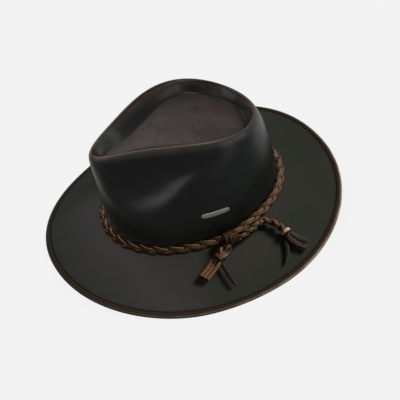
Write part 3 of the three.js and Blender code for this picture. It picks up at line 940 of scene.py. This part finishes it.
class HAT_OT_crown(bpy.types.Operator):
    """Refines the crown: a smooth leather shell, marked with its crest and recess"""

    bl_idname = "hat.crown"
    bl_label = "Crown"

    def execute(self, context):
        crown = node_copy("crown", "crown_shell")
        apply_modifier(crown, "Smooth", "SUBSURF", levels=2, render_levels=2)
        apply_modifier(crown, "Even", "SMOOTH", factor=0.5, iterations=4)
        slant_dents(crown)
        mark_crown(crown)
        smooth(crown, SHELL_SMOOTHING)
        finished(crown, ["crown"], crown_material())
        return {"FINISHED"}


# How far a dent's back climbs, and between which heights over the foot
DENT_SLANT = 12 * MM
DENT_LOW = 42 * MM
DENT_HIGH = 106 * MM
# The crease round the recess floor, and in how many sectors the crest's height is looked up
CREASE_WIDTH = 1.5 * MM
CREASE_DEPTH = 0.45 * MM
CREST_SECTORS = 72
SHELL_SMOOTHING = math.radians(60)


def slant_dents(crown):
    """Slides each thumb dent on the crown's sides so that it climbs towards the back."""
    points = mesh_vectors(crown)
    x, y = (points[:, 0] - FOOT.x) / FOOT_HALF_WIDTH, (points[:, 1] - FOOT.y) / FOOT_HALF_LENGTH
    from_dent = (np.arctan2(np.abs(x), -y) - DENT_TURN) / DENT_SPREAD
    share = np.clip((points[:, 2] - FOOT.z - DENT_LOW) / (DENT_HIGH - DENT_LOW), 0, 1)
    outer = smoothstep(0.7, 0.85, np.hypot(x, y))
    climb = DENT_SLANT * from_dent * np.exp(-((from_dent / 1.5) ** 2))
    points[:, 2] += climb * np.sin(math.pi * share) ** 2 * outer
    set_points(crown, points)


def lay_floor(points, from_floor, upper):
    """Lays the recess floor on one smooth surface, without ridges between its long faces."""
    x, y = points[:, 0] / FOOT_HALF_WIDTH, points[:, 1] / FOOT_HALF_LENGTH
    terms = np.column_stack([x ** i * y ** j for i in range(5) for j in range(5 - i)])
    floor = (from_floor < -2 * MM) & (upper > 0.9)
    fit = np.linalg.lstsq(terms[floor], points[floor, 2], rcond=None)[0]
    share = smoothstep(-1 * MM, -6 * MM, from_floor) * upper
    points[:, 2] += share * (terms @ fit - points[:, 2])


def mark_crown(crown):
    """Presses a fine crease round the recess floor, and marks the crest and the floor for the leather."""
    points, normals = mesh_vectors(crown), mesh_vectors(crown, "normal")
    from_crest = distance_outside(points, outline(**CREST))
    from_floor = distance_outside(points, outline(**FLOOR_EDGE))
    upper = smoothstep(0.05, 0.4, normals[:, 2])
    lay_floor(points, from_floor, upper)
    crease = np.exp(-((from_floor / CREASE_WIDTH) ** 2)) * upper
    points[:, 2] -= crease * CREASE_DEPTH
    set_points(crown, points)
    # The wear fades faster down the outside than into the recess, but not so fast in front
    nose = smoothstep(-60 * MM, -85 * MM, points[:, 1]) * smoothstep(22 * MM, 8 * MM, np.abs(points[:, 0]))
    set_attribute(crown, "crest", np.where(from_crest > 0, (3 - 1.3 * nose) * from_crest, -from_crest))
    set_attribute(crown, "beyond_crest", from_crest)
    set_attribute(crown, "recess", smoothstep(-1 * MM, 1.5 * MM, -from_floor) * upper)
    set_attribute(crown, "crease", crease)
    # A band from the crest down the outside, which is painted lighter as a highlight
    turns = polar(points - FOOT)[0]
    sectors = ((turns + math.pi) / math.tau * CREST_SECTORS).astype(int) % CREST_SECTORS
    tops = [points[sectors == i, 2].max() for i in range(CREST_SECTORS)]
    middles = (np.arange(CREST_SECTORS) + 0.5) * math.tau / CREST_SECTORS - math.pi
    depth = np.interp(turns, middles, tops, period=math.tau) - points[:, 2]
    outside = smoothstep(0, 1.5 * MM, from_crest)
    set_attribute(crown, "rubbed", smoothstep(10 * MM, 1.5 * MM, depth) * outside)


# How much the turned edge swells above the groove
EDGE_SWELL = 0.35 * MM


class HAT_OT_brim(bpy.types.Operator):
    """Refines the brim: its rounded turned edge, the groove and the row of stitches"""

    bl_idname = "hat.brim"
    bl_label = "Brim"

    def execute(self, context):
        brim = node_copy("brim", "brim_sheet")
        apply_modifier(brim, "Smooth", "SUBSURF", levels=2, render_levels=2)
        points, normals = mesh_vectors(brim), mesh_vectors(brim, "normal")
        turns, far = polar(points)
        reach = rim_reach(points)
        inside = reach(turns) - far
        size = sizes()
        from_row = np.abs(inside - size.stitch_inset) / (size.groove_width / 2)
        top = smoothstep(0.2, 0.6, normals[:, 2])
        groove = smoothstep(0.0, 1.0, 1 - from_row) * top
        swell = smoothstep(size.stitch_inset, 4 * MM, inside) * smoothstep(0, 3 * MM, inside) * top
        points[:, 2] += swell * EDGE_SWELL - groove * size.groove_depth
        set_points(brim, points)
        set_attribute(brim, "inside_edge", inside)
        set_attribute(brim, "groove", groove)
        smooth(brim, SHELL_SMOOTHING)
        finished(brim, ["brim"], brim_material())
        make_stitches(brim, reach)
        return {"FINISHED"}


# A stitch's rings: how far along it each lies, how wide and how high, as shares of half the stitch's
# length and of half the thread's width
STITCH_RINGS = [
    (-1.0, 0.35, -0.5), (-0.8, 0.85, -0.15), (-0.35, 1.0, 0.1), (0.35, 1.0, 0.1), (0.8, 0.85, -0.15),
    (1.0, 0.35, -0.5),
]
STITCH_SIDES = 6
STITCH_FLATNESS = 0.7


def make_stitches(brim, reach):
    """A row of stitches in the groove round the brim."""
    size = sizes()
    tree = BVHTree.FromObject(brim, bpy.context.evaluated_depsgraph_get())
    row = []
    for turn in np.linspace(-math.pi, math.pi, 721)[:-1]:
        radius = float(reach(turn)) - size.stitch_inset
        place = Vector((radius * math.cos(turn), radius * math.sin(turn), 1))
        hit, normal, _, _ = tree.ray_cast(place, Vector((0, 0, -1)))
        row.append(np.array(hit + normal * size.groove_depth * 0.55))
    row = np.array([*row, row[0]])
    run = distances(row)
    count = int(run[-1] / size.stitch_pitch)
    half_length, half_width = size.stitch_length / 2, size.thread_width / 2
    points, faces = [], []
    for i in range(count):
        at = (i + 0.5) * run[-1] / count
        start, middle, end = (
            np.array([np.interp(at + shift, run, row[:, axis]) for axis in range(3)])
            for shift in (-half_length, 0, half_length)
        )
        ahead = unit(end - start)
        out = np.cross(np.cross(ahead, UP), ahead)
        across = np.cross(ahead, out)
        faces += tube_faces(len(points), len(STITCH_RINGS), STITCH_SIDES)
        for along, girth, rise in STITCH_RINGS:
            centre = middle + ahead * along * half_length + out * rise * half_width
            for j in range(STITCH_SIDES):
                angle = math.tau * j / STITCH_SIDES
                outward = across * math.cos(angle) + out * math.sin(angle) * STITCH_FLATNESS
                points.append(centre + outward * girth * half_width)
    piece = new_mesh("brim_stitches", points, faces)
    smooth(piece, math.radians(70))
    finished(piece, [], thread_material())


class HAT_OT_band(bpy.types.Operator):
    """Plaits the band round the crown's foot"""

    bl_idname = "hat.band"
    bl_label = "Band"

    def execute(self, context):
        size = sizes()
        turns = np.linspace(0, math.tau, 2881)
        run = distances(np.array([band_point(turn) for turn in turns]))
        even = np.interp(np.arange(BAND_POINTS) / BAND_POINTS * run[-1], run, turns)
        line = np.array([band_point(turn) for turn in even])
        periods = round(run[-1] / size.plait_pitch)
        spread = (BAND_HIGH.z - BAND_LOW.z - size.strand_width) / 2
        band = plait(
            "plaited_band", line, periods, spread, BAND_STAND, size.strand_width, size.strand_thick,
            closed=True, upward=BAND_UPWARD
        )
        finish_thong(band, ["braid_band"], "Plaited thong")
        return {"FINISHED"}


class HAT_OT_knot(bpy.types.Operator):
    """Winds the coil of thong that binds the band's ends"""

    bl_idname = "hat.knot"
    bl_label = "Knot"

    turns: bpy.props.IntProperty(name="Turns", description="Turns of the coil", default=6, min=2, max=12)

    def execute(self, context):
        size = sizes()
        half = (KNOT_LENGTH - size.coil_thong) / 2
        shares = np.linspace(0, 1, self.turns * COIL_STEPS + 1)
        angles = math.tau * self.turns * shares + math.pi
        along = (2 * shares - 1) * half + 0.5 * MM * np.sin(angles)
        coil = wound("knot_coil_turns", along, angles, 0 * angles, size.coil_thong)
        shares = np.linspace(0, 1, COIL_STEPS)
        angles = np.radians(-125 + 215 * shares)
        along = half * (-0.95 + 1.05 * shares)
        above = 1.3 * MM * np.sin(math.pi * shares) ** 0.5
        cross = wound("knot_coil_cross", along, angles, above, size.coil_thong)
        finish_thong(joined("knot_coil", [coil, cross]), ["knot_wrap"], "Coil thong")
        return {"FINISHED"}


def wound(name, along, angles, above, width):
    """A thong wound round the band at the knot, through places along it, angles and heights on the coil."""
    line, outs = [], []
    for far, angle, rise in zip(along, angles, above):
        swell = 1 - 0.12 * (far * 2 / KNOT_LENGTH) ** 2
        turn = KNOT_TURN + far / FOOT_HALF_LENGTH
        out = 3 * MM + (COIL_OUT * swell + rise) * math.cos(angle)
        line.append(band_point(turn, out, (COIL_UP * swell + rise) * math.sin(angle)))
        outs.append(line[-1] - band_point(turn, 2.5 * MM, 0))
    return swept(name, np.array(line), np.array(outs), width, COIL_THICK)


class HAT_OT_tails(bpy.types.Operator):
    """Makes both tails: their plaits, whippings and cut thongs"""

    bl_idname = "hat.tails"
    bl_label = "Tails"

    def execute(self, context):
        front = smooth_line(route(TAIL_FRONT_ROUTE), PLAIT_SPACING)
        make_tail("front", front, 0.5, 1.65, 0.3, 0.8)
        knot_end = KNOT_TURN + KNOT_LENGTH / 2 / FOOT_HALF_LENGTH
        beside = [
            band_point(knot_end + turn, TAIL_BACK_BESIDE, -TAIL_BACK_DROP) for turn in TAIL_BACK_TURNS
        ]
        back = smooth_line([*beside, *route(TAIL_BACK_BEND)], PLAIT_SPACING)
        bend = smoothstep(25 * MM, 50 * MM, distances(back))
        make_tail("back", back, 2.4, 0.88, 0.0, bend * 0.85)
        make_whipping("front", TAIL_FRONT_WHIPPING, 1.15, 4.6, "Tan thong")
        make_whipping("back", TAIL_BACK_WHIPPING, 2.2, 2.5, "Pale thong")
        make_thongs("front", TAIL_FRONT_WHIPPING, TAIL_FRONT_THONGS, 3.8, 2.9, "Tan thong")
        make_thongs("back", TAIL_BACK_WHIPPING, TAIL_BACK_THONGS, 5.7, 1.9, "Spread thong")
        make_dark_thong("front_dark_thong_4", "tail_front_thong_4", TAIL_FRONT_DARK_THONG)
        make_dark_thong("back_dark_thong_3", "tail_back_thong_3", TAIL_BACK_DARK_THONG)
        return {"FINISHED"}


def make_tail(side, line, periods, girth, start, upward):
    """The plait of a tail, which spreads as it leaves the coil."""
    spread = TAIL_SWING * girth * (0.25 + 0.75 * smoothstep(2 * MM, 12 * MM, distances(line)))
    tail = plait(
        f"{side}_tail_plait", line, periods, spread[:, None], TAIL_STAND * girth, TAIL_STRAND_WIDTH * girth,
        TAIL_STRAND_THICK * girth, start=start, upward=upward
    )
    finish_thong(tail, [f"tail_{side}"], "Plaited thong")


def make_whipping(side, keys, turns, width, material):
    """A thong wound round the end of a tail, and a thin dark one that binds it."""
    start, _, end = (np.array(point) for point in route(keys))
    ahead = unit(end - start)
    across = unit(np.cross(ahead, UP))
    up = np.cross(across, ahead)

    def turn_round(name, first, last, count, wide, thick, grow):
        places, outs = [], []
        for share in np.linspace(0, 1, int(count * WHIPPING_STEPS) + 1):
            angle = math.tau * (count * share + 0.6)
            outward = across * math.cos(angle) * (WHIPPING_OUT + grow)
            outs.append(outward + up * math.sin(angle) * (WHIPPING_UP + grow))
            places.append(start + (end - start) * (first + (last - first) * share) + outs[-1])
        return swept(name, np.array(places), np.array(outs), wide, thick)

    wrap = turn_round(f"{side}_tail_whipping", 0.2, 0.7, turns, width * MM, WHIPPING_THICK, 0)
    finish_thong(wrap, [f"tail_{side}_whipping"], material, 0.5)
    binding = turn_round(f"{side}_tail_binding", 0.8, 0.95, 1.5, BINDING_WIDTH, BINDING_THICK, BINDING_RISE)
    finish_thong(binding, [], "Dark thong", 0.5)


def make_thongs(side, whipping, ends, width, thick, material):
    """The cut ends of a tail, from inside its whipping to their tips."""
    inside = np.array(route(whipping)[1])
    for number, keys in enumerate(ends, 1):
        keys = [np.array(key) for key in route(keys)]
        line = smooth_line([inside + (keys[0] - inside) * 0.45, *keys], THONG_SPACING)
        run = distances(line) / distances(line)[-1]
        waves = 1 + 0.05 * np.sin(9 * run + number * 2.1)
        wide = width * MM * waves * (0.9 + 0.1 * smoothstep(0, 0.4, run))
        tilt = np.array([0.25 * math.sin(2.3 * number), 0.2 * math.cos(1.7 * number), 1.0])
        thong = swept(f"{side}_cut_thong_{number}", line, tilt, wide, thick * MM, squareness=0.6)
        finish_thong(thong, [f"tail_{side}_thong_{number}"], material, number / 3)


def make_dark_thong(name, node, keys):
    """A thin dark thong that narrows to its tip."""
    line = smooth_line(route(keys), THONG_SPACING)
    run = distances(line) / distances(line)[-1]
    wide = DARK_THONG_WIDTH * (1 - 0.4 * smoothstep(0.55, 1, run)) * (0.8 + 0.2 * smoothstep(0, 0.3, run))
    thong = swept(name, line, np.array([0.35, -0.1, 1.0]), wide, DARK_THONG_THICK)
    finish_thong(thong, [node], "Dark thong", 0.5)


class HAT_OT_bar(bpy.types.Operator):
    """Finishes the bare pewter bar on the crown's side"""

    bl_idname = "hat.bar"
    bl_label = "Bar"

    def execute(self, context):
        bar = node_copy("crown_bar", "pewter_bar")
        apply_modifier(
            bar, "Edges", "BEVEL", width=sizes().bar_bevel, segments=3, limit_method="ANGLE",
            angle_limit=math.radians(40)
        )
        smooth(bar)
        finished(bar, ["crown_bar"], pewter_material())
        return {"FINISHED"}


class HAT_OT_materials(bpy.types.Operator):
    """Builds the node groups and the leathers that several pieces share"""

    bl_idname = "hat.materials"
    bl_label = "Shared materials"

    def execute(self, context):
        hide_group()
        wear_group()
        scratch_group()
        plaited, cut, tan, spread, dark = (
            np.array(getattr(colours(), name), float) for name in ("plait", "cut", "tan", "spread", "dark")
        )
        thong_material("Plaited thong", plaited, cut)
        thong_material("Coil thong", plaited * 0.64, cut)
        thong_material("Tan thong", tan, cut, side=0.8)
        # a paler copy of the tan thong, a painted highlight on the back tail's whipping
        thong_material("Pale thong", tan * (2.4, 2.9, 3.3), cut, side=0.8)
        thong_material("Spread thong", spread, cut * 0.5, 0.1)
        thong_material("Dark thong", dark, plaited, 0.1)
        return {"FINISHED"}


class HAT_PT_panel(bpy.types.Panel):
    bl_label = "Leather hat"
    bl_idname = "HAT_PT_panel"
    bl_space_type = "VIEW_3D"
    bl_region_type = "UI"
    bl_category = "Hat"

    def draw(self, context):
        for operator in OPERATORS:
            self.layout.operator(operator.bl_idname)
        for group in (context.scene.hat_sizes, context.scene.hat_colours):
            for name in group.__annotations__:
                self.layout.prop(group, name)


OPERATORS = (
    HAT_OT_materials,
    HAT_OT_crown,
    HAT_OT_brim,
    HAT_OT_band,
    HAT_OT_knot,
    HAT_OT_tails,
    HAT_OT_bar,
    HAT_OT_stage,
)
CLASSES = (HatSizes, HatColours, *OPERATORS, HAT_PT_panel)


def register():
    for cls in CLASSES:
        bpy.utils.register_class(cls)
    bpy.types.Scene.hat_sizes = bpy.props.PointerProperty(type=HatSizes)
    bpy.types.Scene.hat_colours = bpy.props.PointerProperty(type=HatColours)


def unregister():
    del bpy.types.Scene.hat_colours
    del bpy.types.Scene.hat_sizes
    for cls in reversed(CLASSES):
        bpy.utils.unregister_class(cls)


def main():
    register()
    for operator in OPERATORS:
        family, name = operator.bl_idname.split(".")
        getattr(getattr(bpy.ops, family), name)()


if __name__ == "__main__":
    main()
